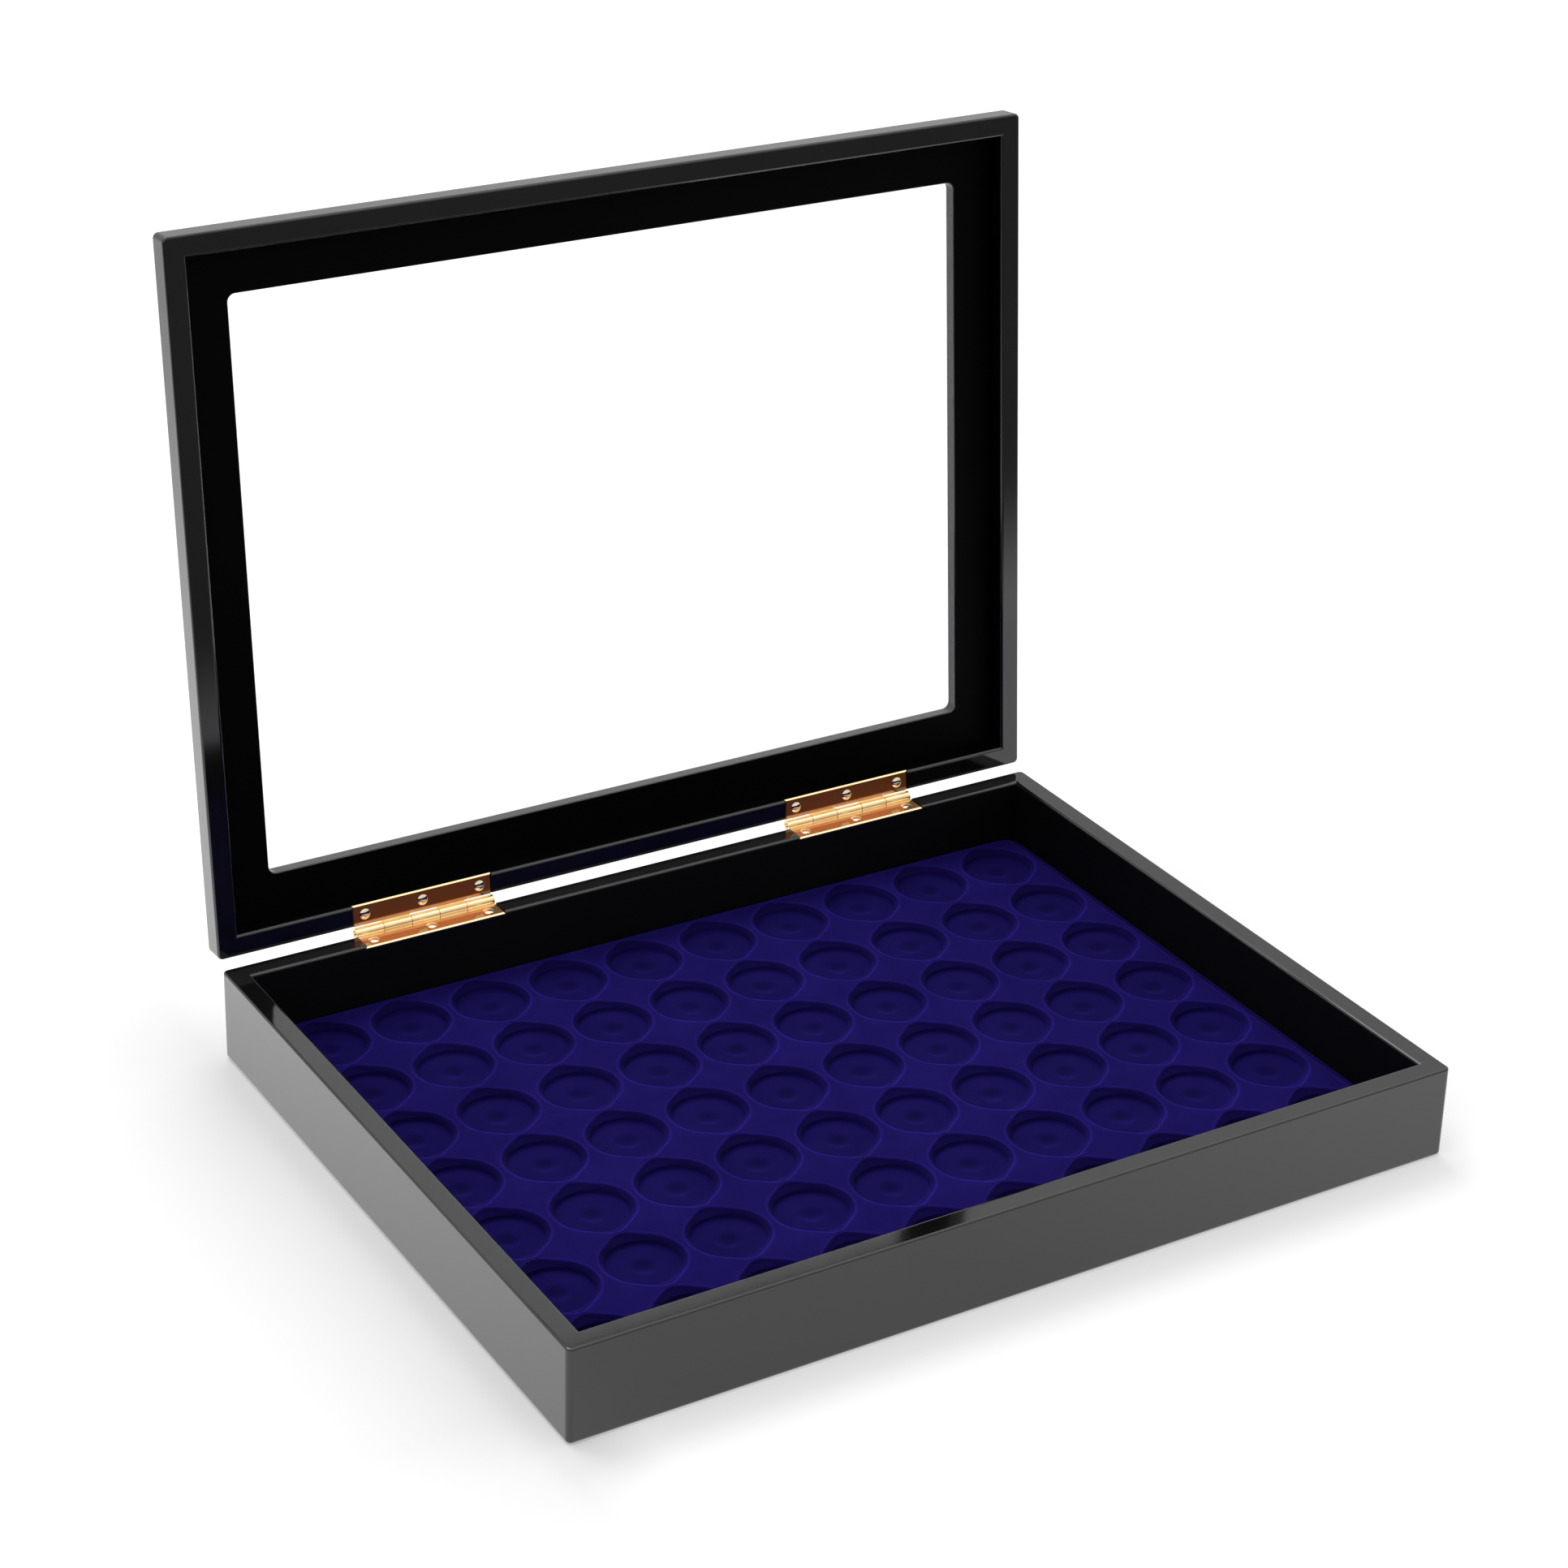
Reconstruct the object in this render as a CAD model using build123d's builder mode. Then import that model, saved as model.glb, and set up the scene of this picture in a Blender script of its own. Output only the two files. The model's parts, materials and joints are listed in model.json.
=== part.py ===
"""Coin display case: a lacquered box with a hinged glass lid and a lift-out tray of coin recesses.

All sizes are in millimetres. X runs along the long side, Y from the front to the hinges, Z up.
The origin is the middle of the base's underside. The lid stands open, which is the rest pose.
"""

import os
from math import cos, degrees, atan2, radians, sin

from build123d import *

os.makedirs("parts", exist_ok=True)

# The case
case_length = 350.0
case_depth = 268.0
base_height = 35.5
wall = 8.2                    # thickness of walls and lid rails, so also the width of both rims
corner_radius = 2.0           # upright outer corners
foot_radius = 1.5             # outer edge that stands on the table
rim_outer_radius = 0.8
rim_inner_radius = 1.2

# The floor panel, let into a rebate round the walls' undersides
floor_thickness = 5.0
floor_rebate = 4.0
floor_fit = 0.1

# The lid
rail_height = 8.1
window_margin = 25.2          # from the lid's outside to the edge of the window
window_corner_radius = 3.0
window_edge_radius = 0.5
window_wall = 5.0             # depth of the window's side walls, up to the glass
bevel_start = 0.5             # upright edge of the top panel, under its bevel
bevel_width = 16.0
glass_thickness = 2.0
glass_seat = 5.0              # how far the glass reaches past the window on each side
glass_fit = 0.2               # round the glass's edge, and from its face to the panel's
open_angle = 95.0
closed_gap = 0.3              # between the two rims when the lid is shut

# The hinges
hinge_length = 57.0
hinge_centre_x = 93.0
pin_setback = 2.4             # from the back of the case to the pin
pin_radius = 0.8
pin_fit = 0.05                # radial, in the knuckles
pin_overhang = 0.5            # pin end past the last knuckle
knuckle_radius = 1.9
knuckle_count = 5
knuckle_gap = 0.2             # end to end, between neighbouring knuckles
knuckle_clearance = 0.35      # round a knuckle that turns in the other leaf's notch
leaf_thickness = 1.0
leaf_bevel = 0.5              # on the edges of its face, but not beside the knuckles
leaf_recess = 0.45            # leaf face below the rim
leaf_fit = 0.1                # at the ends of the leaf's mortise

# The hinge screws, oval-headed with one slot
screw_spacing = 23.5
screw_columns = 3
shank_radius = 0.95
shank_length = 6.0            # below the leaf
head_radius = 2.1
head_dome = 0.45
slot_width = 0.45
slot_depth = 0.3
screw_fit = 0.05

# The tray
tray_side_clearance = 0.5
tray_floor_clearance = 0.3
tray_height = 6.7
tray_edge_height = 5.2        # upright outer edge, below the sloping shoulder
tray_corner_radius = 7.0
end_shoulder = 4.5        # shoulder width at the left and right
side_shoulder = 1.5       # shoulder width at the front and back
recess_pitch_x = 32.4
recess_pitch_y = 35.2
recess_border = 6.0           # least width from a seat's edge to the tray's edge
seat_radius = 13.2            # round coin seat at the bottom of each recess
seat_depth = 1.6
mouth_depth = 1.6             # sloping mouth above the seat
mouth_radius = 14.8
mouth_tip = 17.2              # finger notch, front and back, from the recess's centre
dimple_radius = 4.5
dimple_depth = 0.8
cell_margin = 0.3             # from a seat's edge to the straight bars and dividers round it

# Sizes that follow
inner_length = case_length - 2 * wall
inner_depth = case_depth - 2 * wall
pin_y = case_depth / 2 + pin_setback
pin_z = base_height + closed_gap / 2
mortise_depth = leaf_recess + leaf_thickness
panel_thickness = window_wall + glass_thickness + glass_fit
window_length = case_length - 2 * window_margin
window_depth = case_depth - 2 * window_margin
tray_length = inner_length - 2 * tray_side_clearance
tray_depth = inner_depth - 2 * tray_side_clearance
tray_bottom = floor_thickness + tray_floor_clearance
tray_top = tray_bottom + tray_height
recess_columns = 1 + int((tray_length - 2 * recess_border - 2 * seat_radius) / recess_pitch_x)
recess_rows = 1 + int((tray_depth - 2 * recess_border - 2 * seat_radius) / recess_pitch_y)
cell_size = 2 * (seat_radius + cell_margin)
knuckle_pitch = hinge_length / knuckle_count
leaf_face = closed_gap / 2 + leaf_recess      # from the pin's level to the face of either leaf
leaf_middle_y = -(pin_setback + wall / 2)     # from the pin to the line of screws
screw_xs = [(i - (screw_columns - 1) / 2) * screw_spacing for i in range(screw_columns)]

# The lid's own axes, turned about the pins: up through its thickness, and back to the hinges
turn = radians(open_angle)
lid_up = Vector(0, sin(turn), cos(turn))
lid_back = Vector(0, cos(turn), -sin(turn))
pin_line = Vector(0, pin_y, pin_z)
lid_origin = pin_line - lid_back * (pin_setback + case_depth / 2) + lid_up * (closed_gap / 2)
lid_plane = Plane(origin=lid_origin, x_dir=(1, 0, 0), z_dir=lid_up)


def base_leaf_plane(x):
    """On the pin at x: X along the pin, the leaf towards -Y and under the pin's level."""
    return Plane(origin=(x, pin_y, pin_z))


def lid_leaf_plane(x):
    """The same for the lid's leaf, which faces the other way and turns with the lid."""
    return Plane(origin=(x, pin_y, pin_z), x_dir=(-1, 0, 0), z_dir=-lid_up)


def rim_ring(plane, height, rim_end, foot):
    """A rectangular ring with a rounded rim at its +Z (1) or -Z (-1) end of the plane."""
    up = Axis(plane.origin, plane.z_dir)
    with BuildPart() as ring:
        with BuildSketch(plane):
            RectangleRounded(case_length, case_depth, corner_radius)
            Rectangle(inner_length, inner_depth, mode=Mode.SUBTRACT)
        extrude(amount=height)
        ends = (-1, 0) if rim_end > 0 else (0, -1)
        fillet(ring.faces().sort_by(up)[ends[0]].outer_wire().edges(), rim_outer_radius)
        fillet(ring.faces().sort_by(up)[ends[0]].inner_wires()[0].edges(), rim_inner_radius)
        if foot:
            fillet(ring.faces().sort_by(up)[ends[1]].outer_wire().edges(), foot)
    return ring.part


def mitred_side(plane, height, x_side, y_side):
    """The block of space that holds one mitred side of the case's rectangle."""
    reach = 2 * wall
    half_x, half_y = case_length / 2, case_depth / 2
    if y_side:
        outline = [(-half_x, half_y * y_side), (half_x, half_y * y_side),
                   (half_x - reach, (half_y - reach) * y_side),
                   (reach - half_x, (half_y - reach) * y_side)]
    else:
        outline = [(half_x * x_side, -half_y), (half_x * x_side, half_y),
                   ((half_x - reach) * x_side, half_y - reach),
                   ((half_x - reach) * x_side, reach - half_y)]
    with BuildPart() as side:
        with BuildSketch(plane):
            Polygon(*outline, align=None)
        extrude(amount=height)
    return side.part


def hinge_mortises(leaf_plane):
    """The space both hinge leaves and their screws take out of a back wall or rail."""
    width = wall + pin_setback
    with BuildPart() as mortises:
        for x in (-hinge_centre_x, hinge_centre_x):
            seat = leaf_plane(x).offset(-leaf_face - leaf_thickness)
            with BuildSketch(seat):
                with Locations((0, -pin_setback - wall / 2)):
                    Rectangle(hinge_length + 2 * leaf_fit, width)
            extrude(amount=leaf_face + leaf_thickness)
            with BuildSketch(seat):
                with Locations(*[(sx, leaf_middle_y) for sx in screw_xs]):
                    Circle(shank_radius + screw_fit)
            extrude(amount=-shank_length - screw_fit)
    return mortises.part


def along_pin(plane, start, end):
    """Plane across the pin at its start, and the length to the end, both from the hinge's middle."""
    across = Plane(origin=plane.from_local_coords(Vector(start, 0, 0)),
                   x_dir=plane.y_dir, z_dir=plane.x_dir)
    return across, end - start


def knuckle_span(index):
    """Start and end along the pin of one of the five knuckles."""
    start = -hinge_length / 2 + index * knuckle_pitch
    return start + knuckle_gap / 2, start + knuckle_pitch - knuckle_gap / 2


def hinge_leaf(plane, own_knuckles):
    """One hinge leaf: a bevelled plate under the pin's level, rolled into its own knuckles."""
    others = [i for i in range(knuckle_count) if i not in own_knuckles]
    with BuildPart() as leaf:
        with BuildSketch(plane.offset(-leaf_face - leaf_thickness)):
            reach = pin_setback + wall
            with Locations((0, -reach / 2)):
                Rectangle(hinge_length, reach)
            for index in others:
                start, end = knuckle_span(index)
                with Locations(((start + end) / 2, -(knuckle_radius + knuckle_clearance) / 2)):
                    Rectangle(end - start + 2 * knuckle_gap, knuckle_radius + knuckle_clearance,
                              mode=Mode.SUBTRACT)
        extrude(amount=leaf_thickness)
        face = leaf.faces().sort_by(Axis(plane.origin, plane.z_dir))[-1]
        free_edge = face.edges().sort_by(Axis(plane.origin, plane.y_dir))[0]
        ends = face.edges().filter_by(Axis(plane.origin, plane.y_dir))
        ends = ends.sort_by(Axis(plane.origin, plane.x_dir))
        chamfer([free_edge, ends[0], ends[-1]], leaf_bevel)
        for index in own_knuckles:
            across, length = along_pin(plane, *knuckle_span(index))
            with BuildSketch(across):
                Circle(knuckle_radius)
            extrude(amount=length)
        across, length = along_pin(plane, -hinge_length / 2, hinge_length / 2)
        with BuildSketch(across):
            Circle(pin_radius + pin_fit)
        extrude(amount=length, mode=Mode.SUBTRACT)
        sink = Plane(origin=plane.from_local_coords(Vector(0, leaf_middle_y, -leaf_face)),
                     x_dir=plane.x_dir, z_dir=plane.z_dir)
        with Locations(*[sink.location * Pos(sx, 0, -leaf_thickness / 2) for sx in screw_xs]):
            Cone(shank_radius + screw_fit, head_radius + screw_fit, leaf_thickness,
                 mode=Mode.SUBTRACT)
    return leaf.part


def hinge_screws(plane):
    """The three screws of one leaf, as separate solids."""
    face = Plane(origin=plane.from_local_coords(Vector(0, leaf_middle_y, -leaf_face)),
                 x_dir=plane.x_dir, z_dir=plane.z_dir)
    dome_radius = (head_radius ** 2 + head_dome ** 2) / (2 * head_dome)
    with BuildPart() as screw:
        with BuildSketch(Plane.XZ):
            with BuildLine():
                Polyline((0, 0), (0, -leaf_thickness - shank_length),
                         (shank_radius, -leaf_thickness - shank_length + shank_radius),
                         (shank_radius, -leaf_thickness), (head_radius, 0), (0, 0))
            make_face()
        revolve(axis=Axis.Z)
        with BuildSketch(Plane.XZ):
            with BuildLine():
                RadiusArc((head_radius, 0), (0, head_dome), -dome_radius)
                Polyline((0, head_dome), (0, 0), (head_radius, 0))
            make_face()
        revolve(axis=Axis.Z)
        with Locations((0, 0, head_dome)):
            Box(4 * head_radius, slot_width, 2 * slot_depth, mode=Mode.SUBTRACT)
    with BuildPart() as screws:
        with Locations(*[face.location * Pos(sx, 0, 0) for sx in screw_xs]):
            add(screw.part)
    return screws.part


# ---------------------------------------------------------------- the base

base_ring = rim_ring(Plane.XY, base_height, 1, foot_radius)

with BuildPart() as rebate_block:
    Box(inner_length + 2 * floor_rebate, inner_depth + 2 * floor_rebate, floor_thickness,
        align=(Align.CENTER, Align.CENTER, Align.MIN))

with BuildPart() as base_front_wall:
    add(base_ring)
    add(mitred_side(Plane.XY, base_height, 0, -1), mode=Mode.INTERSECT)
    add(rebate_block.part, mode=Mode.SUBTRACT)

with BuildPart() as base_back_wall:
    add(base_ring)
    add(mitred_side(Plane.XY, base_height, 0, 1), mode=Mode.INTERSECT)
    add(rebate_block.part, mode=Mode.SUBTRACT)
    add(hinge_mortises(base_leaf_plane), mode=Mode.SUBTRACT)

with BuildPart() as base_left_wall:
    add(base_ring)
    add(mitred_side(Plane.XY, base_height, -1, 0), mode=Mode.INTERSECT)
    add(rebate_block.part, mode=Mode.SUBTRACT)

with BuildPart() as base_right_wall:
    add(base_ring)
    add(mitred_side(Plane.XY, base_height, 1, 0), mode=Mode.INTERSECT)
    add(rebate_block.part, mode=Mode.SUBTRACT)

with BuildPart() as base_floor:
    Box(inner_length + 2 * (floor_rebate - floor_fit), inner_depth + 2 * (floor_rebate - floor_fit),
        floor_thickness, align=(Align.CENTER, Align.CENTER, Align.MIN))

# ---------------------------------------------------------------- the lid

lid_ring = rim_ring(lid_plane, rail_height, -1, 0)

with BuildPart() as lid_front_rail:
    add(lid_ring)
    add(mitred_side(lid_plane, rail_height, 0, -1), mode=Mode.INTERSECT)

with BuildPart() as lid_back_rail:
    add(lid_ring)
    add(mitred_side(lid_plane, rail_height, 0, 1), mode=Mode.INTERSECT)
    add(hinge_mortises(lid_leaf_plane), mode=Mode.SUBTRACT)

with BuildPart() as lid_left_rail:
    add(lid_ring)
    add(mitred_side(lid_plane, rail_height, -1, 0), mode=Mode.INTERSECT)

with BuildPart() as lid_right_rail:
    add(lid_ring)
    add(mitred_side(lid_plane, rail_height, 1, 0), mode=Mode.INTERSECT)

# The top panel closes the rails, with a bevel all round and a window cut through it
panel_top = rail_height + panel_thickness
with BuildPart() as lid_top_panel:
    with BuildSketch(lid_plane.offset(rail_height)):
        RectangleRounded(case_length, case_depth, corner_radius)
    extrude(amount=bevel_start)
    with BuildSketch(lid_plane.offset(rail_height + bevel_start)):
        RectangleRounded(case_length, case_depth, corner_radius)
    with BuildSketch(lid_plane.offset(panel_top)):
        RectangleRounded(case_length - 2 * bevel_width, case_depth - 2 * bevel_width,
                         corner_radius)
    loft()
    with BuildSketch(lid_plane.offset(rail_height)):
        RectangleRounded(window_length, window_depth, window_corner_radius)
    extrude(amount=panel_thickness, mode=Mode.SUBTRACT)
    lid_axis = Axis(lid_plane.origin, lid_plane.z_dir)
    window_rim = lid_top_panel.faces().sort_by(lid_axis)[0].inner_wires()[0].edges()
    fillet(window_rim, window_edge_radius)
    with BuildSketch(lid_plane.offset(rail_height + window_wall)):
        Rectangle(window_length + 2 * glass_seat, window_depth + 2 * glass_seat)
    extrude(amount=panel_thickness, mode=Mode.SUBTRACT)

with BuildPart() as lid_glass:
    with BuildSketch(lid_plane.offset(rail_height + window_wall)):
        Rectangle(window_length + 2 * (glass_seat - glass_fit),
                  window_depth + 2 * (glass_seat - glass_fit))
    extrude(amount=glass_thickness)

# ---------------------------------------------------------------- the hinges

base_knuckles = (0, 2, 4)
lid_knuckles = (1, 3)

with BuildPart() as hinge_left_base_leaf:
    add(hinge_leaf(base_leaf_plane(-hinge_centre_x), base_knuckles))

with BuildPart() as hinge_right_base_leaf:
    add(hinge_leaf(base_leaf_plane(hinge_centre_x), base_knuckles))

with BuildPart() as hinge_left_lid_leaf:
    add(hinge_leaf(lid_leaf_plane(-hinge_centre_x), lid_knuckles))

with BuildPart() as hinge_right_lid_leaf:
    add(hinge_leaf(lid_leaf_plane(hinge_centre_x), lid_knuckles))


def hinge_pin(plane):
    """A plain pin right through the knuckles, with domed ends."""
    across, length = along_pin(plane, -hinge_length / 2 - pin_overhang,
                               hinge_length / 2 + pin_overhang)
    with BuildPart() as pin:
        with BuildSketch(across):
            Circle(pin_radius)
        extrude(amount=length)
        fillet(pin.edges().filter_by(GeomType.CIRCLE), pin_overhang * 0.8)
    return pin.part


with BuildPart() as hinge_left_pin:
    add(hinge_pin(base_leaf_plane(-hinge_centre_x)))

with BuildPart() as hinge_right_pin:
    add(hinge_pin(base_leaf_plane(hinge_centre_x)))

with BuildPart() as hinge_left_base_screws:
    add(hinge_screws(base_leaf_plane(-hinge_centre_x)))

with BuildPart() as hinge_right_base_screws:
    add(hinge_screws(base_leaf_plane(hinge_centre_x)))

with BuildPart() as hinge_left_lid_screws:
    add(hinge_screws(lid_leaf_plane(-hinge_centre_x)))

with BuildPart() as hinge_right_lid_screws:
    add(hinge_screws(lid_leaf_plane(hinge_centre_x)))

# ---------------------------------------------------------------- the tray

# One recess is a round seat for the coin, a sloping mouth that comes to a finger notch at the
# front and the back, and a small dimple under the coin's middle
mouth_taper = degrees(atan2(mouth_radius - seat_radius, mouth_depth))
tangent_y = mouth_radius ** 2 / mouth_tip
tangent_x = (mouth_radius ** 2 - tangent_y ** 2) ** 0.5
dimple_sphere = (dimple_radius ** 2 + dimple_depth ** 2) / (2 * dimple_depth)
recess_centres = GridLocations(recess_pitch_x, recess_pitch_y, recess_columns, recess_rows)
seat_level = tray_top - mouth_depth - seat_depth
dimple_middle = seat_level - dimple_depth + dimple_sphere

# The moulding's outline, with its sloping shoulder
with BuildPart() as tray_blank:
    with BuildSketch(Plane.XY.offset(tray_bottom)):
        RectangleRounded(tray_length, tray_depth, tray_corner_radius)
    extrude(amount=tray_edge_height)
    with BuildSketch(Plane.XY.offset(tray_bottom + tray_edge_height)):
        RectangleRounded(tray_length, tray_depth, tray_corner_radius)
    with BuildSketch(Plane.XY.offset(tray_top)):
        RectangleRounded(tray_length - 2 * end_shoulder, tray_depth - 2 * side_shoulder,
                         tray_corner_radius - side_shoulder)
    loft()

with BuildPart() as recess_mouth:
    with BuildSketch(Plane.XY.offset(tray_top)):
        Circle(mouth_radius)
        Polygon((tangent_x, tangent_y), (0, mouth_tip), (-tangent_x, tangent_y),
                (-tangent_x, -tangent_y), (0, -mouth_tip), (tangent_x, -tangent_y), align=None)
    extrude(amount=-mouth_depth, taper=mouth_taper)

# The moulding is drawn as a floor with straight bars between the rows, short dividers between
# the recesses of a row, and a square cell round each seat, so that every solid is nearly convex
with BuildPart() as coin_tray_floor:
    add(tray_blank.part)
    with BuildSketch(Plane.XY.offset(seat_level)):
        Rectangle(tray_length, tray_depth)
    extrude(amount=seat_depth + mouth_depth, mode=Mode.SUBTRACT)
    with Locations(*[Pos(0, 0, dimple_middle) * centre for centre in recess_centres.locations]):
        Sphere(dimple_sphere, mode=Mode.SUBTRACT)

with BuildPart() as coin_tray_bars:
    with BuildSketch(Plane.XY.offset(seat_level)):
        Rectangle(tray_length, tray_depth)
        with GridLocations(recess_pitch_x, recess_pitch_y, 1, recess_rows):
            Rectangle(tray_length, cell_size, mode=Mode.SUBTRACT)
    extrude(amount=seat_depth + mouth_depth)
    add(tray_blank.part, mode=Mode.INTERSECT)
    with recess_centres:
        add(recess_mouth.part, mode=Mode.SUBTRACT)

with BuildPart() as coin_tray_dividers:
    with BuildSketch(Plane.XY.offset(seat_level)):
        with GridLocations(recess_pitch_x, recess_pitch_y, 1, recess_rows):
            Rectangle(tray_length, cell_size)
        with recess_centres:
            Rectangle(cell_size, cell_size, mode=Mode.SUBTRACT)
    extrude(amount=seat_depth + mouth_depth)
    add(tray_blank.part, mode=Mode.INTERSECT)
    with recess_centres:
        add(recess_mouth.part, mode=Mode.SUBTRACT)

with BuildPart() as tray_cell:
    with BuildSketch(Plane.XY.offset(seat_level)):
        Rectangle(cell_size, cell_size)
    extrude(amount=seat_depth + mouth_depth)
    add(recess_mouth.part, mode=Mode.SUBTRACT)
    with BuildSketch(Plane.XY.offset(seat_level)):
        Circle(seat_radius)
    extrude(amount=seat_depth, mode=Mode.SUBTRACT)

with BuildPart() as coin_tray_cells:
    with recess_centres:
        add(tray_cell.part)

# ---------------------------------------------------------------- files

pieces = {
    "base_front_wall": base_front_wall,
    "base_back_wall": base_back_wall,
    "base_left_wall": base_left_wall,
    "base_right_wall": base_right_wall,
    "base_floor": base_floor,
    "lid_front_rail": lid_front_rail,
    "lid_back_rail": lid_back_rail,
    "lid_left_rail": lid_left_rail,
    "lid_right_rail": lid_right_rail,
    "lid_top_panel": lid_top_panel,
    "lid_glass": lid_glass,
    "hinge_left_base_leaf": hinge_left_base_leaf,
    "hinge_right_base_leaf": hinge_right_base_leaf,
    "hinge_left_lid_leaf": hinge_left_lid_leaf,
    "hinge_right_lid_leaf": hinge_right_lid_leaf,
    "hinge_left_pin": hinge_left_pin,
    "hinge_right_pin": hinge_right_pin,
    "hinge_left_base_screws": hinge_left_base_screws,
    "hinge_right_base_screws": hinge_right_base_screws,
    "hinge_left_lid_screws": hinge_left_lid_screws,
    "hinge_right_lid_screws": hinge_right_lid_screws,
    "coin_tray_floor": coin_tray_floor,
    "coin_tray_bars": coin_tray_bars,
    "coin_tray_dividers": coin_tray_dividers,
    "coin_tray_cells": coin_tray_cells,
}
for piece_name, piece in pieces.items():
    piece.part.label = piece_name
    export_step(piece.part, f"parts/{piece_name}.step")
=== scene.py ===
"""Looks for the coin display case: lacquer, flocked tray, glass and brass, with its studio."""

import json
import math

import bpy
from mathutils import Matrix, Vector


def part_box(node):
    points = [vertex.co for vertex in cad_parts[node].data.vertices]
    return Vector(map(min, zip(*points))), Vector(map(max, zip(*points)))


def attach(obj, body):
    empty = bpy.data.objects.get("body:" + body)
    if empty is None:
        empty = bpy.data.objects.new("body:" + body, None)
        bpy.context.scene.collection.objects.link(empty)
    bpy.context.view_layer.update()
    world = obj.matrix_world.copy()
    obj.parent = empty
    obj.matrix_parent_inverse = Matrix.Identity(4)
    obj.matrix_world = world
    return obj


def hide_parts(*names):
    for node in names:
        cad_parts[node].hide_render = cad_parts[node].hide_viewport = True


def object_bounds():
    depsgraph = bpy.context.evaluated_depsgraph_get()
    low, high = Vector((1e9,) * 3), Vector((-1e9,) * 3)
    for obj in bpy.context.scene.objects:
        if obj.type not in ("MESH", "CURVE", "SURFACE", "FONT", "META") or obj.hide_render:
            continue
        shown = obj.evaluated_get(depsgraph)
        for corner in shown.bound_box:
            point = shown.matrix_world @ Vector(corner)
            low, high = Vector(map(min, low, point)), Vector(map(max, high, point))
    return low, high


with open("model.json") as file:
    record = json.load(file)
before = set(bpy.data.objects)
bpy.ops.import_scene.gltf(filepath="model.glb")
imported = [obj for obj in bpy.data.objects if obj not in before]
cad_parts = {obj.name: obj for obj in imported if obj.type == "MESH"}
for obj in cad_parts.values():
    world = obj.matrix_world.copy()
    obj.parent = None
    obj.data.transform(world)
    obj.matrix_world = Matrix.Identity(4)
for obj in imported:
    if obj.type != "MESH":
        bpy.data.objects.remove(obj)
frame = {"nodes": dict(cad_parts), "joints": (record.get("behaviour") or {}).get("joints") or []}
cad_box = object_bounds()
nodes = frame["nodes"]

# The case's own sizes, in metres
MM = 0.001
CASE_LENGTH, CASE_DEPTH, WALL = 0.350, 0.268, 0.0082
PIN_SETBACK = 0.0024
PAINTED_REFLECTION_START = 0.0036               # from the pin to where a hinge leaf's painted dark reflection begins
OPEN_ANGLE = math.radians(95.0)

# Spray colours of the faces that look into the base and into the lid
BASE_SPRAY = (0.014, 0.014, 0.0145)
LID_SPRAY = (0.0040, 0.0040, 0.0048)

# Brass colours, from the low to the high tone, and the painted dark reflection on the flat fields of the
# hinge leaves
BRASS = (0.90, 0.64, 0.34), (0.96, 0.76, 0.46)
PALE_BRASS = (0.94, 0.80, 0.54), (0.98, 0.87, 0.66)
PAINTED_REFLECTION_BASE_LEAF = (0.62, 0.32, 0.14)
PAINTED_REFLECTION_LID_LEAF = (0.70, 0.22, 0.05)


# ---------------------------------------------------------------- node helpers

def new_material(name):
    """An empty node material with its output node."""
    material = bpy.data.materials.new(name)
    material.use_nodes = True
    material.node_tree.nodes.clear()
    output = material.node_tree.nodes.new("ShaderNodeOutputMaterial")
    return material, material.node_tree, output


def add_node(tree, kind, **values):
    """A node with its properties and its input sockets set by name."""
    node = tree.nodes.new(kind)
    for key, value in values.items():
        if hasattr(node, key):
            setattr(node, key, value)
        else:
            node.inputs[key.replace("_", " ")].default_value = value
    return node


def math_node(tree, operation, first, second=None, clamp=False):
    """A Math node fed by sockets or numbers; gives its output socket."""
    node = tree.nodes.new("ShaderNodeMath")
    node.operation = operation
    node.use_clamp = clamp
    for socket, value in zip(node.inputs, (first, second)):
        if value is None:
            continue
        if isinstance(value, (int, float)):
            socket.default_value = value
        else:
            tree.links.new(value, socket)
    return node.outputs[0]


def product(tree, first, second):
    """Two sockets or numbers multiplied."""
    return math_node(tree, "MULTIPLY", first, second)


def noise(tree, coords, scale, detail=4.0, roughness=0.5):
    """A noise texture's value over the given coordinates."""
    node = add_node(tree, "ShaderNodeTexNoise", Scale=scale, Detail=detail, Roughness=roughness)
    tree.links.new(coords, node.inputs["Vector"])
    return node.outputs["Fac"]


def ramp(tree, value, stops):
    """A colour ramp over a value; stops are (position, grey or rgb)."""
    node = tree.nodes.new("ShaderNodeValToRGB")
    elements = node.color_ramp.elements
    while len(elements) < len(stops):
        elements.new(0.5)
    for element, (position, colour) in zip(elements, stops):
        element.position = position
        rgb = (colour,) * 3 if isinstance(colour, (int, float)) else colour
        element.color = (*rgb, 1.0)
    tree.links.new(value, node.inputs["Fac"])
    return node.outputs["Color"]


def map_range(tree, value, from_low, from_high, to_low, to_high, smooth=False):
    """A value moved from one range to another, clamped."""
    node = add_node(tree, "ShaderNodeMapRange", From_Min=from_low, From_Max=from_high,
                    To_Min=to_low, To_Max=to_high)
    node.interpolation_type = "SMOOTHSTEP" if smooth else "LINEAR"
    tree.links.new(value, node.inputs["Value"])
    return node.outputs["Result"]


def bump(tree, height, strength, distance):
    """A bump normal from a height."""
    node = add_node(tree, "ShaderNodeBump", Strength=strength, Distance=distance)
    tree.links.new(height, node.inputs["Height"])
    return node.outputs["Normal"]


def object_coords(tree):
    """A point's place in its object's own frame, so that a pattern rides with its body."""
    return tree.nodes.new("ShaderNodeTexCoord").outputs["Object"]


def principled(tree, output, **values):
    """The surface shader, with its fixed values set on its own sockets."""
    shader = add_node(tree, "ShaderNodeBsdfPrincipled", **values)
    tree.links.new(shader.outputs["BSDF"], output.inputs["Surface"])
    return shader


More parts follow.
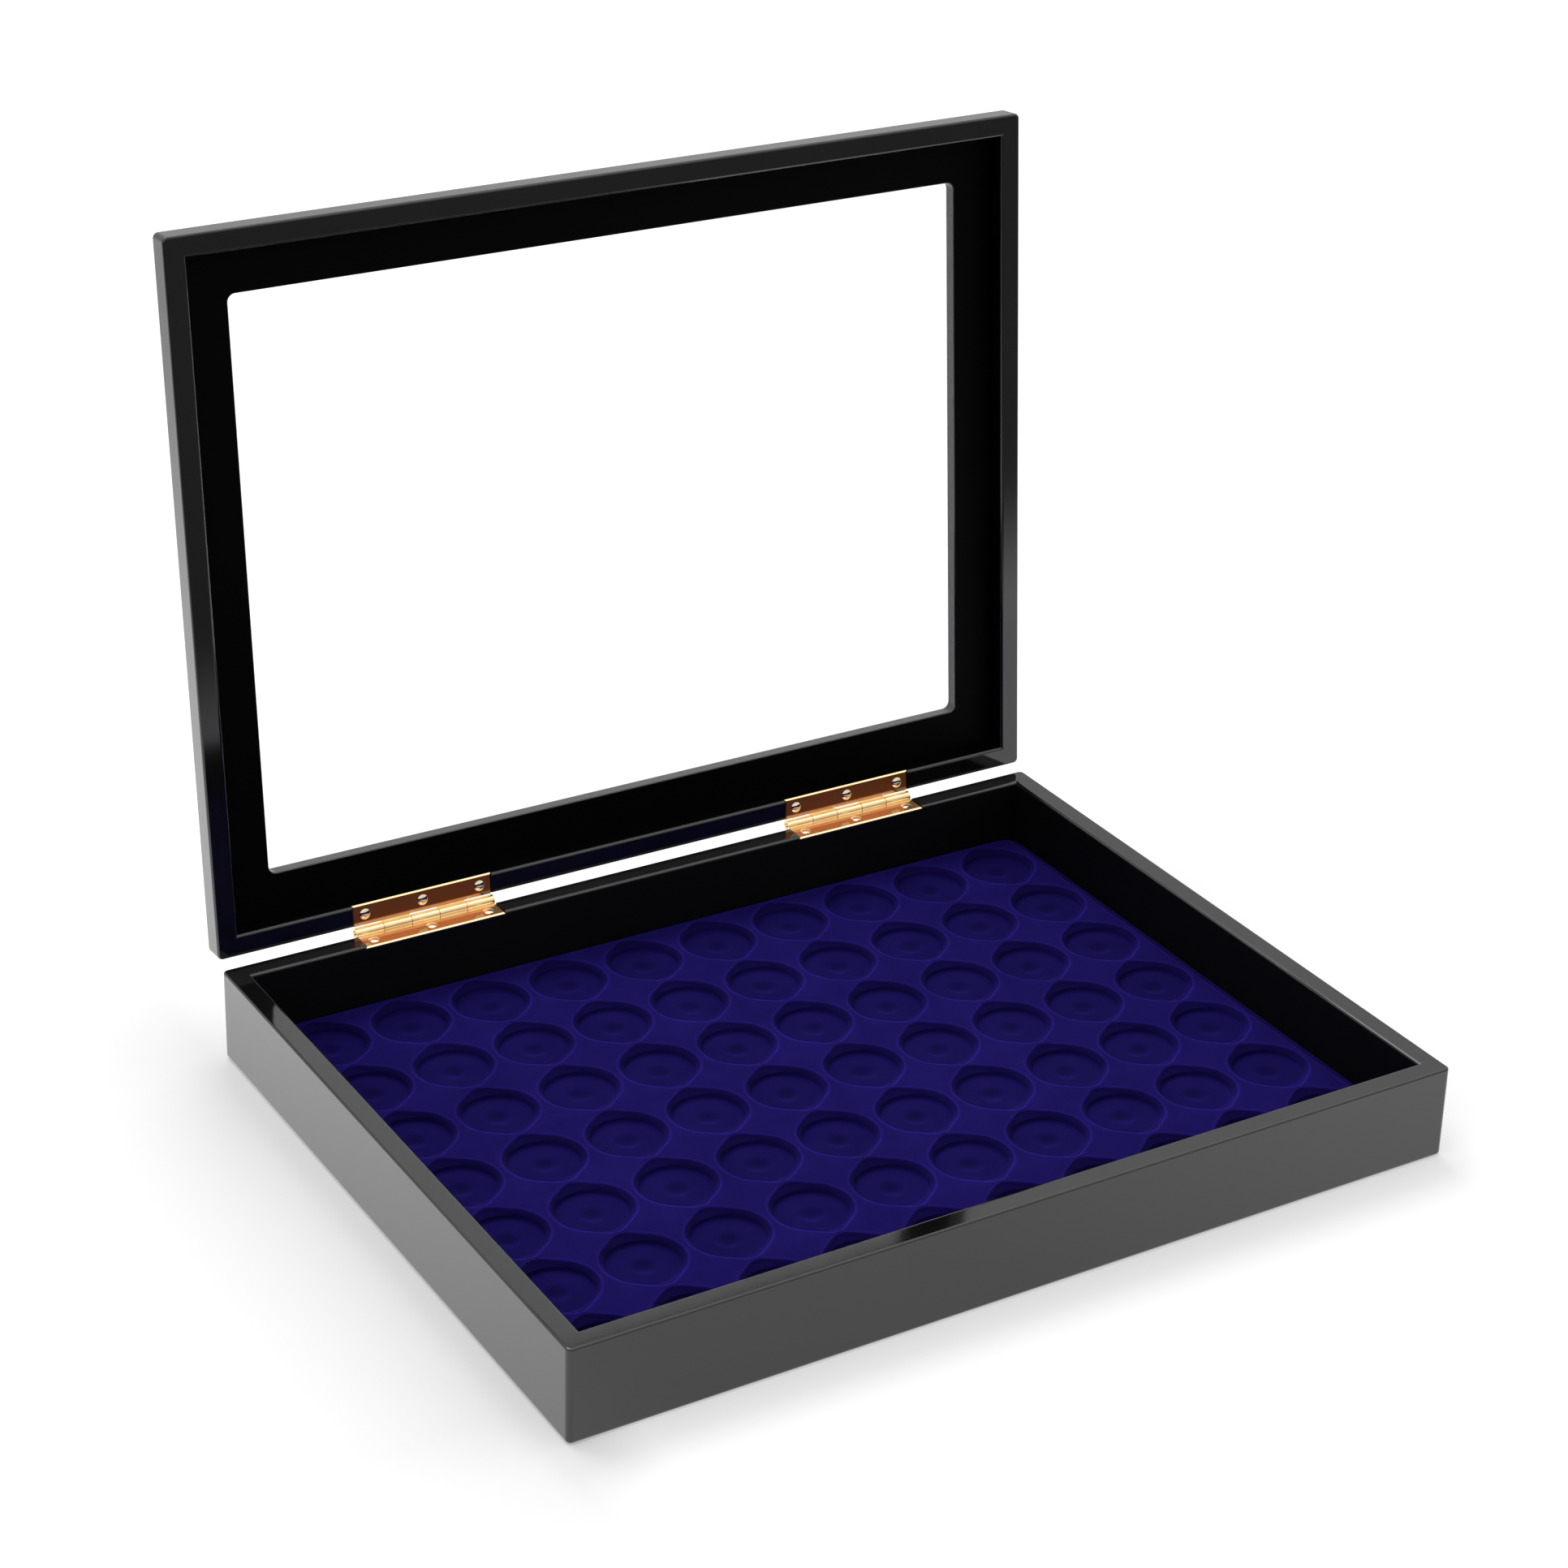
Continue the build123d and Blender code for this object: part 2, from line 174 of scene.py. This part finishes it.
def dot(tree, vector, direction):
    """The dot product of a vector socket with a fixed direction."""
    node = add_node(tree, "ShaderNodeVectorMath", operation="DOT_PRODUCT")
    tree.links.new(vector, node.inputs[0])
    node.inputs[1].default_value = direction
    return node.outputs["Value"]


def shaded(tree, colour, grey):
    """A colour times twice a grey, so that a grey of one half leaves it as it is."""
    times = add_node(tree, "ShaderNodeVectorMath", operation="MULTIPLY")
    tree.links.new(colour, times.inputs[0])
    tree.links.new(grey, times.inputs[1])
    double = add_node(tree, "ShaderNodeVectorMath", operation="SCALE", Scale=2.0)
    tree.links.new(times.outputs[0], double.inputs[0])
    return double.outputs[0]


def tint(tree, mask, plain, colour):
    """The plain colour, going over to a fixed colour where the mask is 1."""
    node = add_node(tree, "ShaderNodeMix", data_type="RGBA")
    tree.links.new(mask, node.inputs["Factor"])
    tree.links.new(plain, node.inputs["A"])
    node.inputs["B"].default_value = (*colour, 1)
    return node.outputs["Result"]


def switch(tree, test, plain, other, output):
    """Gives the surface the plain shader, or the other one where the test is 1."""
    mix = tree.nodes.new("ShaderNodeMixShader")
    tree.links.new(test, mix.inputs[0])
    tree.links.new(plain.outputs[0], mix.inputs[1])
    tree.links.new(other.outputs[0], mix.inputs[2])
    tree.links.new(mix.outputs[0], output.inputs["Surface"])


# ---------------------------------------------------------------- materials

def facing_mask(tree, direction):
    """1 on the faces that look along a direction."""
    normal = tree.nodes.new("ShaderNodeTexCoord").outputs["Normal"]
    return map_range(tree, dot(tree, normal, direction), 0.90, 0.97, 0.0, 1.0)


def box_mask(tree, back, centre):
    """1 on the inner faces of a frame whose middle is at centre, measured along its back direction."""
    coords = object_coords(tree)
    half_length, half_depth = CASE_LENGTH / 2 - WALL, CASE_DEPTH / 2 - WALL
    over_x = math_node(tree, "SUBTRACT", math_node(tree, "ABSOLUTE", dot(tree, coords, (1, 0, 0))),
                       half_length)
    along = math_node(tree, "SUBTRACT", dot(tree, coords, back), centre)
    over_y = math_node(tree, "SUBTRACT", math_node(tree, "ABSOLUTE", along), half_depth)
    return map_range(tree, math_node(tree, "MAXIMUM", over_x, over_y), 0.00002, 0.0002, 1.0, 0.0)


def lacquer_material(name, lining, spray):
    """Black polished lacquer: faint cloudiness in the gloss and a slight orange peel.

    lining makes the mask of the faces that look into the case. They are sprayed dead black, in the
    spray colour: black all through, with no dielectric gloss.
    """
    material, tree, output = new_material(name)
    coords = object_coords(tree)
    shader = principled(tree, output, IOR=1.6)
    cloud = noise(tree, coords, 18.0, 3.0)
    peel = noise(tree, coords, 420.0, 2.0)
    gloss = ramp(tree, cloud, [(0.3, (0.0042, 0.0042, 0.0045)), (0.7, (0.0068, 0.0068, 0.0072))])
    mask = lining(tree)
    rough = math_node(tree, "ADD", map_range(tree, cloud, 0.3, 0.7, 0.05, 0.09),
                      product(tree, mask, 0.5))
    tree.links.new(tint(tree, mask, gloss, spray), shader.inputs["Base Color"])
    tree.links.new(mask, shader.inputs["Metallic"])
    tree.links.new(rough, shader.inputs["Roughness"])
    tree.links.new(bump(tree, peel, 0.05, 0.00002), shader.inputs["Normal"])
    return material


def flock_material(top, plateau_x):
    """Dark blue flock of short dense pile, with painted light and shade by depth and by the way each slope
    faces.

    top is the height of the tray's upper face, which reaches to plateau_x at the left and right. Past
    it the end shoulders get painted shade; the rolled edges everywhere get a painted highlight.
    """
    material, tree, output = new_material("blue_flock")
    coords = object_coords(tree)
    shader = principled(tree, output, Roughness=1.0, IOR=1.15, Sheen_Weight=0.05,
                        Sheen_Roughness=0.5, Sheen_Tint=(0.12, 0.09, 0.8, 1))
    fibre = noise(tree, coords, 2600.0, 3.0, 0.7)
    patch = noise(tree, coords, 45.0, 4.0, 0.6)
    pile = math_node(tree, "ADD", product(tree, fibre, 0.5), product(tree, patch, 0.5))
    colour = ramp(tree, pile, [(0.30, (0.0078, 0.0043, 0.089)), (0.52, (0.0114, 0.0066, 0.123)),
                               (0.72, (0.0158, 0.0096, 0.159))])
    # Painted light and shade over the first 4 mm down: a painted highlight on the rolled edge, painted
    # shade on the mouth and seat wall, less on the seat, the most in the dimple
    height = math_node(tree, "SUBTRACT", top, dot(tree, coords, (0, 0, 1)))
    depth = ramp(tree, map_range(tree, height, 0.0, 4 * MM, 0.0, 1.0),
                 [(0.0, 0.46), (0.008, 0.62), (0.032, 0.72), (0.060, 0.45), (0.10, 0.30), (0.45, 0.34),
                  (0.72, 0.36), (0.78, 0.39), (0.82, 0.35), (1.0, 0.25)])
    # Painted light and shade by facing: slopes that face the back, and a little to the right, are painted
    # light, and those that face the front are painted dark
    normal = tree.nodes.new("ShaderNodeTexCoord").outputs["Normal"]
    facing_back = math_node(tree, "ADD", product(tree, dot(tree, normal, (0.35, 1, 0)), 0.5), 0.5)
    painted_light_by_facing = ramp(tree, facing_back, [(0.0, 0.42), (0.38, 0.44), (0.5, 0.50), (0.60, 0.72), (1.0, 0.70)])
    # Painted shade on the end shoulders, beside the left and right walls
    off_middle = math_node(tree, "ABSOLUTE", dot(tree, coords, (1, 0, 0)))
    shoulder = map_range(tree, off_middle, plateau_x + 0.4 * MM, plateau_x + 1.0 * MM, 0.50, 0.39)
    for grey in (depth, painted_light_by_facing, shoulder):
        colour = shaded(tree, colour, grey)
    tree.links.new(colour, shader.inputs["Base Color"])
    tree.links.new(bump(tree, fibre, 0.5, 0.00025), shader.inputs["Normal"])
    return material


def leaf_field(tree, facing, along):
    """1 on the flat field of a hinge leaf, clear of its bevels and of its knuckles.

    facing is the direction the field looks in, and along the one from the pin to the free edge.
    """
    from_pin = math_node(tree, "SUBTRACT", dot(tree, object_coords(tree), along), hinge_pin.dot(along))
    clear = map_range(tree, from_pin, PAINTED_REFLECTION_START - 0.4 * MM, PAINTED_REFLECTION_START, 0.0, 1.0)
    return product(tree, clear, facing_mask(tree, facing))


def brass_material(name, low, high, painted_reflection_colour=None, painted_reflection_field=None):
    """Polished brass with fine drawn lines and patches of tone from the low to the high colour.

    The last two arguments give a painted dark reflection: its colour, and what makes the mask of the flat
    field it covers, where the brass is also less metallic.
    """
    material, tree, output = new_material(name)
    coords = object_coords(tree)
    shader = principled(tree, output, Metallic=1.0)
    stretch = add_node(tree, "ShaderNodeMapping", Scale=(0.06, 1.0, 1.0))
    tree.links.new(coords, stretch.inputs["Vector"])
    lines = noise(tree, stretch.outputs["Vector"], 2400.0, 3.0, 0.6)
    patch = noise(tree, coords, 220.0, 4.0, 0.55)
    colour = ramp(tree, patch, [(0.3, low), (0.7, high)])
    # Painted dark reflection: the flat field goes over to the reflection colour and is less metallic
    if painted_reflection_field is not None:
        mask = painted_reflection_field(tree)
        colour = tint(tree, mask, colour, painted_reflection_colour)
        tree.links.new(map_range(tree, mask, 0.0, 1.0, 1.0, 0.72), shader.inputs["Metallic"])
    tree.links.new(colour, shader.inputs["Base Color"])
    tree.links.new(map_range(tree, lines, 0.3, 0.7, 0.04, 0.10), shader.inputs["Roughness"])
    tree.links.new(bump(tree, lines, 0.06, 0.00002), shader.inputs["Normal"])
    return material


def glass_material():
    """Clear float glass with a trace of haze, that lets the lamps' light through to the tray."""
    material, tree, output = new_material("lid_glass_clear")
    coords = object_coords(tree)
    shader = principled(tree, output, Base_Color=(0.985, 0.995, 0.99, 1), Transmission_Weight=1.0,
                        IOR=1.45)
    haze = noise(tree, coords, 9.0, 1.0)
    tree.links.new(map_range(tree, haze, 0.3, 0.7, 0.0, 0.008), shader.inputs["Roughness"])
    clear = add_node(tree, "ShaderNodeBsdfTransparent", Color=(0.93, 0.94, 0.935, 1))
    rays = tree.nodes.new("ShaderNodeLightPath")
    switch(tree, rays.outputs["Is Shadow Ray"], shader, clear, output)
    return material


def board_material():
    """The floor board: black-stained fibreboard, matte."""
    material, tree, output = new_material("floor_board_black")
    coords = object_coords(tree)
    shader = principled(tree, output, IOR=1.35)
    grain = noise(tree, coords, 700.0, 5.0, 0.65)
    tree.links.new(ramp(tree, grain, [(0.3, (0.010, 0.010, 0.011)), (0.7, (0.024, 0.023, 0.023))]),
                   shader.inputs["Base Color"])
    tree.links.new(map_range(tree, grain, 0.3, 0.7, 0.55, 0.75), shader.inputs["Roughness"])
    tree.links.new(bump(tree, grain, 0.25, 0.0001), shader.inputs["Normal"])
    return material


def dress(material, *names):
    """Puts a material on CAD nodes, in their own slots."""
    for name in names:
        for slot in nodes[name].material_slots:
            slot.material = material


# The lid's directions as it stands open: out through its top, and back along it to the hinges
lid_out = Vector((0, math.sin(OPEN_ANGLE), math.cos(OPEN_ANGLE)))
lid_back = Vector((0, math.cos(OPEN_ANGLE), -math.sin(OPEN_ANGLE)))
hinge_pin = Vector(next(j for j in frame["joints"] if j["name"] == "lid_hinge")["pos_m"])
lid_middle = hinge_pin.dot(lid_back) - PIN_SETBACK - CASE_DEPTH / 2

walls = lacquer_material("black_lacquer", lambda tree: box_mask(tree, (0, 1, 0), 0.0), BASE_SPRAY)
rails = lacquer_material("black_lacquer_rails", lambda tree: box_mask(tree, lid_back, lid_middle),
                         LID_SPRAY)
panel = lacquer_material("black_lacquer_panel", lambda tree: facing_mask(tree, -lid_out), LID_SPRAY)
for side in ("front", "back", "left", "right"):
    dress(walls, f"base_{side}_wall")
    dress(rails, f"lid_{side}_rail")
dress(panel, "lid_top_panel")
dress(board_material(), "base_floor")
dress(glass_material(), "lid_glass")

# Each hinge leaf gets a painted dark reflection on its flat field
base_leaf = brass_material("brass_base_leaf", *BRASS, painted_reflection_colour=PAINTED_REFLECTION_BASE_LEAF,
                           painted_reflection_field=lambda tree: leaf_field(tree, (0, 0, 1), Vector((0, -1, 0))))
lid_leaf = brass_material("brass_lid_leaf", *BRASS, painted_reflection_colour=PAINTED_REFLECTION_LID_LEAF,
                          painted_reflection_field=lambda tree: leaf_field(tree, -lid_out, -lid_back))
pin = brass_material("brass_pin", *BRASS)
screws = brass_material("brass_screws", *PALE_BRASS)
for side in ("left", "right"):
    dress(base_leaf, f"hinge_{side}_base_leaf")
    dress(lid_leaf, f"hinge_{side}_lid_leaf")
    dress(pin, f"hinge_{side}_pin")
    dress(screws, f"hinge_{side}_base_screws", f"hinge_{side}_lid_screws")


# ---------------------------------------------------------------- the flocked tray

# The tray's sizes, in millimetres
PITCH_X, PITCH_Y = 32.4, 35.2
COLUMNS, ROWS = 10, 7
SEAT_R, MOUTH_R, MOUTH_TIP, DIMPLE_R = 13.2, 14.8, 17.0, 4.5
SEAT_DEPTH, MOUTH_DEPTH, DIMPLE_DEPTH = 1.6, 1.6, 0.8
END_SHOULDER, SIDE_SHOULDER, SHOULDER_DROP = 4.5, 1.5, 1.5
CORNER_R = 7.0
CELL_MARGIN = 0.12                 # least distance from a recess's rings to its cell's edge
TOUCHING = 0.01                    # points this near to the field's edge count as on it
NOTCH_SHARPNESS = 22               # how narrow the finger notches are
PER_SIDE = 16                      # mesh points on each side of a cell


def mouth(x, y):
    """How far the mouth's outline is from the recess's centre, towards (x, y): round, with a notch."""
    sine = abs(y) / math.hypot(x, y)
    return MOUTH_R + (MOUTH_TIP - MOUTH_R) * sine ** NOTCH_SHARPNESS


def cell_outline():
    """Points round a cell's edge, evenly along each side, so that neighbours share them."""
    half_x, half_y = PITCH_X / 2, PITCH_Y / 2
    corners = [(-half_x, -half_y), (half_x, -half_y), (half_x, half_y), (-half_x, half_y)]
    points = []
    for (x0, y0), (x1, y1) in zip(corners, corners[1:] + corners[:1]):
        points += [(x0 + (x1 - x0) * i / PER_SIDE, y0 + (y1 - y0) * i / PER_SIDE)
                   for i in range(PER_SIDE)]
    return points


def recess_rings():
    """Each ring as a function of direction: distance from the centre, and depth below the top."""
    floor = SEAT_DEPTH + MOUTH_DEPTH
    slope = MOUTH_R - SEAT_R
    rings = []

    # The dimple, a shallow bowl
    for share in (0.35, 0.7, 1.0):
        rings.append((lambda x, y, s=share: DIMPLE_R * s, floor + DIMPLE_DEPTH * (1 - share ** 2)))

    # The seat's flat floor, its rounded foot and its upright wall
    rings.append((lambda x, y: DIMPLE_R + 1.2, floor))
    rings.append((lambda x, y: SEAT_R - 2.2, floor))
    rings.append((lambda x, y: SEAT_R - 0.45, floor - 0.04))
    rings.append((lambda x, y: SEAT_R - 0.10, floor - 0.40))
    rings.append((lambda x, y: SEAT_R, MOUTH_DEPTH + 0.35))
    rings.append((lambda x, y: SEAT_R + 0.12, MOUTH_DEPTH + 0.08))

    # The mouth's slope, which widens to the finger notches
    rings.append((lambda x, y: max(SEAT_R + 0.2, mouth(x, y) - slope + 0.2), MOUTH_DEPTH - 0.12))
    rings.append((lambda x, y: mouth(x, y) - slope * 0.5, MOUTH_DEPTH * 0.5))
    rings.append((lambda x, y: mouth(x, y) - slope * 0.18, MOUTH_DEPTH * 0.22))

    # Its rolled edge
    rings.append((lambda x, y: mouth(x, y) + 0.05, 0.14))
    rings.append((lambda x, y: mouth(x, y) + 0.55, 0.05))
    rings.append((lambda x, y: mouth(x, y) + 1.15, 0.0))
    return rings


def rounded(x, y, half_x, half_y, radius):
    """(x, y), taken to the outline of a rounded rectangle if it lies in a corner outside it."""
    over_x, over_y = abs(x) - (half_x - radius), abs(y) - (half_y - radius)
    if over_x <= 0 or over_y <= 0:
        return x, y
    length = math.hypot(over_x, over_y)
    if length <= radius:
        return x, y
    return (math.copysign(half_x - radius + over_x / length * radius, x),
            math.copysign(half_y - radius + over_y / length * radius, y))


class MeshBuilder:
    """Points in millimetres and faces, with the points that neighbouring cells share."""

    def __init__(self):
        self.verts, self.faces, self.shared = [], [], {}

    def vert(self, x, y, z):
        """A new point; gives its index."""
        self.verts.append((x * MM, y * MM, z * MM))
        return len(self.verts) - 1

    def shared_vert(self, x, y, z):
        """The point that is already at (x, y), or a new one."""
        key = (round(x, 3), round(y, 3))
        if key not in self.shared:
            self.shared[key] = self.vert(x, y, z)
        return self.shared[key]

    def make_object(self, name):
        """An object in the scene, with the mesh made so far."""
        mesh = bpy.data.meshes.new(name)
        mesh.from_pydata(self.verts, [], self.faces)
        mesh.validate()
        mesh.update()
        made = bpy.data.objects.new(name, mesh)
        bpy.context.scene.collection.objects.link(made)
        return made


def add_recess(build, cx, cy, top, edge_vert):
    """One cell: a dimple, a seat and a mouth, out to the cell's edge at the tray's upper face."""
    outline = cell_outline()
    count = len(outline)
    centre = build.vert(cx, cy, top - SEAT_DEPTH - MOUTH_DEPTH - DIMPLE_DEPTH)
    loops = []
    for radius, depth in recess_rings():
        loop = []
        for x, y in outline:
            length = math.hypot(x, y)
            reach = min(radius(x, y), length - CELL_MARGIN)
            loop.append(build.vert(cx + x / length * reach, cy + y / length * reach, top - depth))
        loops.append(loop)
    loops.append([edge_vert(cx + x, cy + y) for x, y in outline])
    for i in range(count):
        build.faces.append((centre, loops[0][i], loops[0][(i + 1) % count]))
    for inner, outer in zip(loops, loops[1:]):
        for i in range(count):
            j = (i + 1) % count
            if outer[i] != outer[j]:
                build.faces.append((inner[i], outer[i], outer[j], inner[j]))


def field_perimeter(field_x, field_y):
    """The cells' points all round the field of recesses, anticlockwise from the front left."""
    points = []
    for i in range(COLUMNS * PER_SIDE):
        points.append((-field_x + PITCH_X / PER_SIDE * i, -field_y))
    for i in range(ROWS * PER_SIDE):
        points.append((field_x, -field_y + PITCH_Y / PER_SIDE * i))
    for i in range(COLUMNS * PER_SIDE):
        points.append((field_x - PITCH_X / PER_SIDE * i, field_y))
    for i in range(ROWS * PER_SIDE):
        points.append((-field_x, field_y - PITCH_Y / PER_SIDE * i))
    return points


def add_rim(build, loop, plateau_x, plateau_y, top, bottom):
    """The moulding's rim, from the plateau's edge down the shoulder and the upright side."""
    plateau = [(build.verts[k][0] / MM, build.verts[k][1] / MM) for k in loop]
    profile = [(0.04, top - 0.02), (0.14, top - 0.08 * SHOULDER_DROP), (0.50, top - 0.40 * SHOULDER_DROP),
               (0.85, top - 0.76 * SHOULDER_DROP), (0.97, top - 0.96 * SHOULDER_DROP),
               (1.0, top - SHOULDER_DROP - 0.3), (1.0, bottom + 0.2), (0.997, bottom)]
    total = len(loop)
    for share, z in profile:
        wide = (plateau_x + END_SHOULDER * share) / plateau_x
        deep = (plateau_y + SIDE_SHOULDER * share) / plateau_y
        ring = [build.vert(x * wide, y * deep, z) for x, y in plateau]
        for i in range(total):
            j = (i + 1) % total
            build.faces.append((loop[i], ring[i], ring[j], loop[j]))
        loop = ring
    build.faces.append(tuple(reversed(loop)))


def build_tray():
    """The flocked moulding as one mesh, made of one ringed cell for each recess."""
    low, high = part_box("coin_tray_floor")
    half_x, half_y = high[0] / MM, high[1] / MM
    bottom, top = low[2] / MM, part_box("coin_tray_bars")[1][2] / MM
    plateau_x, plateau_y = half_x - END_SHOULDER, half_y - SIDE_SHOULDER
    field_x, field_y = PITCH_X * COLUMNS / 2, PITCH_Y * ROWS / 2
    build = MeshBuilder()

    def edge_vert(x, y):
        """A point on a cell's edge, shared with its neighbour; the outer ones reach the plateau's edge."""
        if abs(x) > field_x - TOUCHING:
            x = math.copysign(plateau_x, x)
        if abs(y) > field_y - TOUCHING:
            y = math.copysign(plateau_y, y)
        x, y = rounded(x, y, plateau_x, plateau_y, CORNER_R - SIDE_SHOULDER)
        return build.shared_vert(x, y, top)

    for column in range(COLUMNS):
        for row in range(ROWS):
            add_recess(build, (column - (COLUMNS - 1) / 2) * PITCH_X, (row - (ROWS - 1) / 2) * PITCH_Y,
                       top, edge_vert)
    perimeter = [edge_vert(x, y) for x, y in field_perimeter(field_x, field_y)]
    add_rim(build, perimeter, plateau_x, plateau_y, top, bottom)

    tray = build.make_object("coin_tray_flock")
    polygons = tray.data.polygons
    for polygon in polygons:
        polygon.use_smooth = True
    polygons[len(polygons) - 1].use_smooth = False
    tray.data.materials.append(flock_material(top * MM, plateau_x * MM))
    return tray


tray = build_tray()
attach(tray, "tray")
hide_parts("coin_tray_floor", "coin_tray_bars", "coin_tray_dividers", "coin_tray_cells")


# ---------------------------------------------------------------- studio

def mirrored(tree, rays):
    """1 for a ray that was mirrored by a surface, and 0 for one that went through glass."""
    return math_node(tree, "SUBTRACT", rays.outputs["Is Glossy Ray"],
                     rays.outputs["Is Transmission Ray"], clamp=True)


def seen(tree, rays):
    """1 for a ray from the camera, straight or through glass."""
    return math_node(tree, "ADD", rays.outputs["Is Camera Ray"], rays.outputs["Is Transmission Ray"],
                     clamp=True)


def past_half(tree, coordinate, half):
    """How far a coordinate lies outside the case's half length, and 0 inside it."""
    over = math_node(tree, "SUBTRACT", math_node(tree, "ABSOLUTE", coordinate), half)
    return math_node(tree, "MAXIMUM", over, 0.0)


def floor_glow(tree, x, y, away):
    """How bright the floor is to a mirrored ray: most beside the case, fading to the front and away."""
    in_front = map_range(tree, y, -0.17, -0.44, 1.0, 0.14, smooth=True)
    far = map_range(tree, away, 0.1, 0.9, 1.0, 0.55, smooth=True)
    left = map_range(tree, x, -0.12, -0.22, 0.0, 1.0, smooth=True)
    left_back = map_range(tree, y, -0.25, 0.35, 0.12, 1.12)
    to_the_right = map_range(tree, x, 0.0, 0.2, 1.0, 1.3)
    off_the_front = map_range(tree, y, -0.134, -0.185, 1.0, 1.1)
    glow = product(tree, math_node(tree, "MINIMUM", in_front, far),
                   math_node(tree, "ADD", 1.0, product(tree, left, left_back)))
    return product(tree, glow, product(tree, to_the_right, off_the_front))


def floor_lift(tree, x, y, away):
    """What the floor adds to its lit paper for the camera, to be white: less beside the left end, a
    painted shadow, and more just in front of the case, painted light.
    """
    plain = map_range(tree, away, 0.4, 3.0, 0.35, 0.60)
    shade_left = product(tree, map_range(tree, away, 0.0, 0.105, 0.20, 0.0),
                         map_range(tree, x, -0.15, -0.18, 0.0, 1.0))
    light_front = product(tree, map_range(tree, away, 0.0, 0.12, 0.07, 0.0),
                          map_range(tree, y, -0.11, -0.14, 0.0, 1.0))
    return math_node(tree, "ADD", math_node(tree, "SUBTRACT", plain, shade_left), light_front)


def floor_material():
    """White paper to light and to the camera, and a graded glow to mirrored rays."""
    material, tree, output = new_material("studio_floor_white")
    rays = tree.nodes.new("ShaderNodeLightPath")
    position = tree.nodes.new("ShaderNodeSeparateXYZ")
    tree.links.new(tree.nodes.new("ShaderNodeNewGeometry").outputs["Position"], position.inputs[0])
    x, y = position.outputs["X"], position.outputs["Y"]
    beside_x = past_half(tree, x, CASE_LENGTH / 2)
    beside_y = past_half(tree, y, CASE_DEPTH / 2)
    away = math_node(tree, "SQRT", math_node(tree, "ADD", product(tree, beside_x, beside_x),
                                             product(tree, beside_y, beside_y)))

    diffuse = add_node(tree, "ShaderNodeBsdfDiffuse", Color=(0.86, 0.86, 0.86, 1))
    lift = tree.nodes.new("ShaderNodeEmission")
    tree.links.new(product(tree, seen(tree, rays), floor_lift(tree, x, y, away)), lift.inputs["Strength"])
    paper = tree.nodes.new("ShaderNodeAddShader")
    tree.links.new(diffuse.outputs[0], paper.inputs[0])
    tree.links.new(lift.outputs[0], paper.inputs[1])

    mirror = tree.nodes.new("ShaderNodeEmission")
    tree.links.new(floor_glow(tree, x, y, away), mirror.inputs["Strength"])
    switch(tree, mirrored(tree, rays), paper, mirror, output)
    return material


def studio_floor():
    """A white table top under the case."""
    reach = 6.0
    mesh = bpy.data.meshes.new("studio_floor")
    mesh.from_pydata([(-reach, -reach, 0), (reach, -reach, 0), (reach, reach, 0), (-reach, reach, 0)],
                     [], [(0, 1, 2, 3)])
    mesh.materials.append(floor_material())
    floor = bpy.data.objects.new("studio_floor", mesh)
    bpy.context.scene.collection.objects.link(floor)
    floor.location.z = cad_box[0][2] - 0.2 * MM


def studio_world():
    """White to the camera and through glass; a soft overhead dome for gloss; even light for the rest."""
    world = bpy.data.worlds.new("studio")
    bpy.context.scene.world = world
    world.use_nodes = True
    tree = world.node_tree
    tree.nodes.clear()
    output = tree.nodes.new("ShaderNodeOutputWorld")
    rays = tree.nodes.new("ShaderNodeLightPath")
    direction = tree.nodes.new("ShaderNodeSeparateXYZ")
    tree.links.new(tree.nodes.new("ShaderNodeTexCoord").outputs["Generated"], direction.inputs[0])
    up = direction.outputs["Z"]
    overhead = map_range(tree, up, 0.0, 0.9, 0.40, 0.576)
    gloss = product(tree, mirrored(tree, rays), map_range(tree, up, 0.45, 0.75, 0.80, 1.52, smooth=True))
    strength = math_node(tree, "MAXIMUM", overhead,
                         math_node(tree, "MAXIMUM", seen(tree, rays), gloss))
    background = add_node(tree, "ShaderNodeBackground", Color=(1, 1, 1, 1))
    tree.links.new(strength, background.inputs["Strength"])
    tree.links.new(background.outputs[0], output.inputs["Surface"])


def softbox(name, location, target, size, watts):
    """A rectangular area lamp that looks at a point."""
    lamp = bpy.data.lights.new(name, "AREA")
    lamp.shape = "RECTANGLE"
    lamp.size, lamp.size_y = size
    lamp.energy = watts
    holder = bpy.data.objects.new(name, lamp)
    bpy.context.scene.collection.objects.link(holder)
    holder.location = location
    aim = Vector(target) - Vector(location)
    holder.rotation_euler = aim.to_track_quat("-Z", "Y").to_euler()


def photo_camera():
    """The camera of the photograph: azimuth 32 and elevation 24 degrees, long lens."""
    azimuth, elevation, roll = 0.5586, 0.4188, 0.0313
    position = Vector((-0.60942, -0.95626, 0.69052))
    forward = Vector((math.sin(azimuth) * math.cos(elevation),
                      math.cos(azimuth) * math.cos(elevation), -math.sin(elevation)))
    right = Vector((math.cos(azimuth), -math.sin(azimuth), 0))
    up = right.cross(forward)
    turned_right = right * math.cos(roll) + up * math.sin(roll)
    turned_up = up * math.cos(roll) - right * math.sin(roll)
    lens = bpy.data.cameras.new("photo_camera")
    lens.sensor_width = 36.0
    lens.lens = 83.84
    lens.shift_x, lens.shift_y = -0.0176, -0.0963
    lens.clip_start, lens.clip_end = 0.01, 50.0
    camera = bpy.data.objects.new("photo_camera", lens)
    bpy.context.scene.collection.objects.link(camera)
    axes = Matrix((turned_right, turned_up, -forward)).transposed()
    camera.matrix_world = Matrix.Translation(position) @ axes.to_4x4()
    bpy.context.scene.camera = camera


studio_floor()
studio_world()
softbox("softbox_back", (-0.2, 0.9, 1.8), (0, 0, 0.05), (1.5, 1.0), 15.0)
softbox("softbox_left", (-1.5, -0.1, 1.2), (0, 0, 0.1), (0.9, 1.3), 4.0)
photo_camera()

bpy.context.scene.view_settings.view_transform = "Standard"
